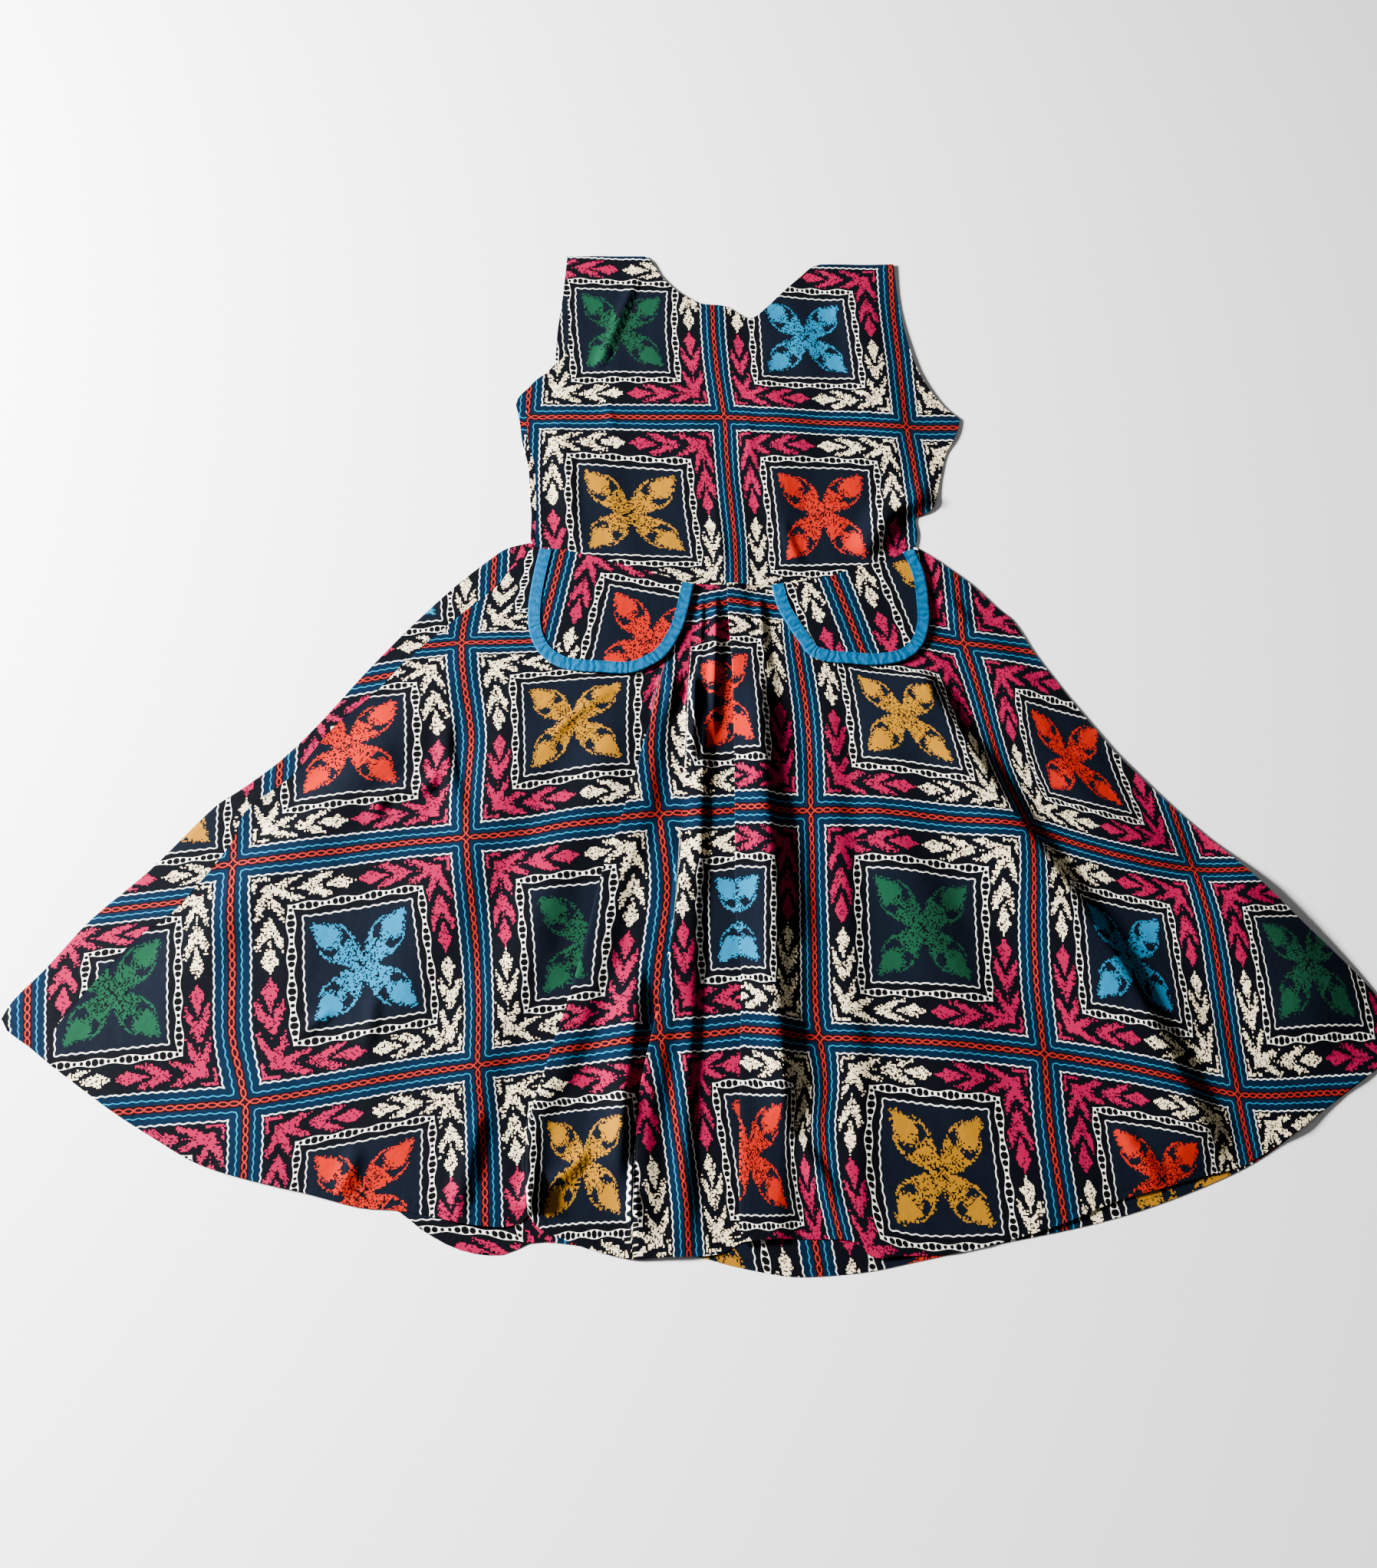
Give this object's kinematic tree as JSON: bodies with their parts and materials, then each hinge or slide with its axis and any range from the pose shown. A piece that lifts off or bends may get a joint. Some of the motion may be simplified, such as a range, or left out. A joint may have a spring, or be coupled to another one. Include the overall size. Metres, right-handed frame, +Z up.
{
  "type": "ankara wax print dress",
  "caption": "Sleeveless flared dress in wax print cotton, laid flat, with a gathered skirt, a curved neckline and bound flaps at the waist.",
  "frame": {"origin": "middle of the flat underside of the dress as it lies, at the centre of its length and width", "axes": "+X across the skirt towards the right edge as seen from above, +Y towards the neck, +Z up out of the front face"},
  "size_m": [1.496, 1.2277, 0.0108],
  "materials": {
    "wax_print": "crisp plain-weave cotton with a printed windowpane of chains, beads, leaf garlands and four-leaf flowers on navy",
    "binding": "turquoise blue cotton bias tape, matt"
  },
  "bodies": {
    "root": {"bodice_front": "wax_print", "bodice_back": "wax_print", "skirt_front": "wax_print", "skirt_back": "wax_print", "flap_left": "wax_print", "flap_right": "wax_print", "flap_binding_left": "binding", "flap_binding_right": "binding"}
  },
  "joints": []
}
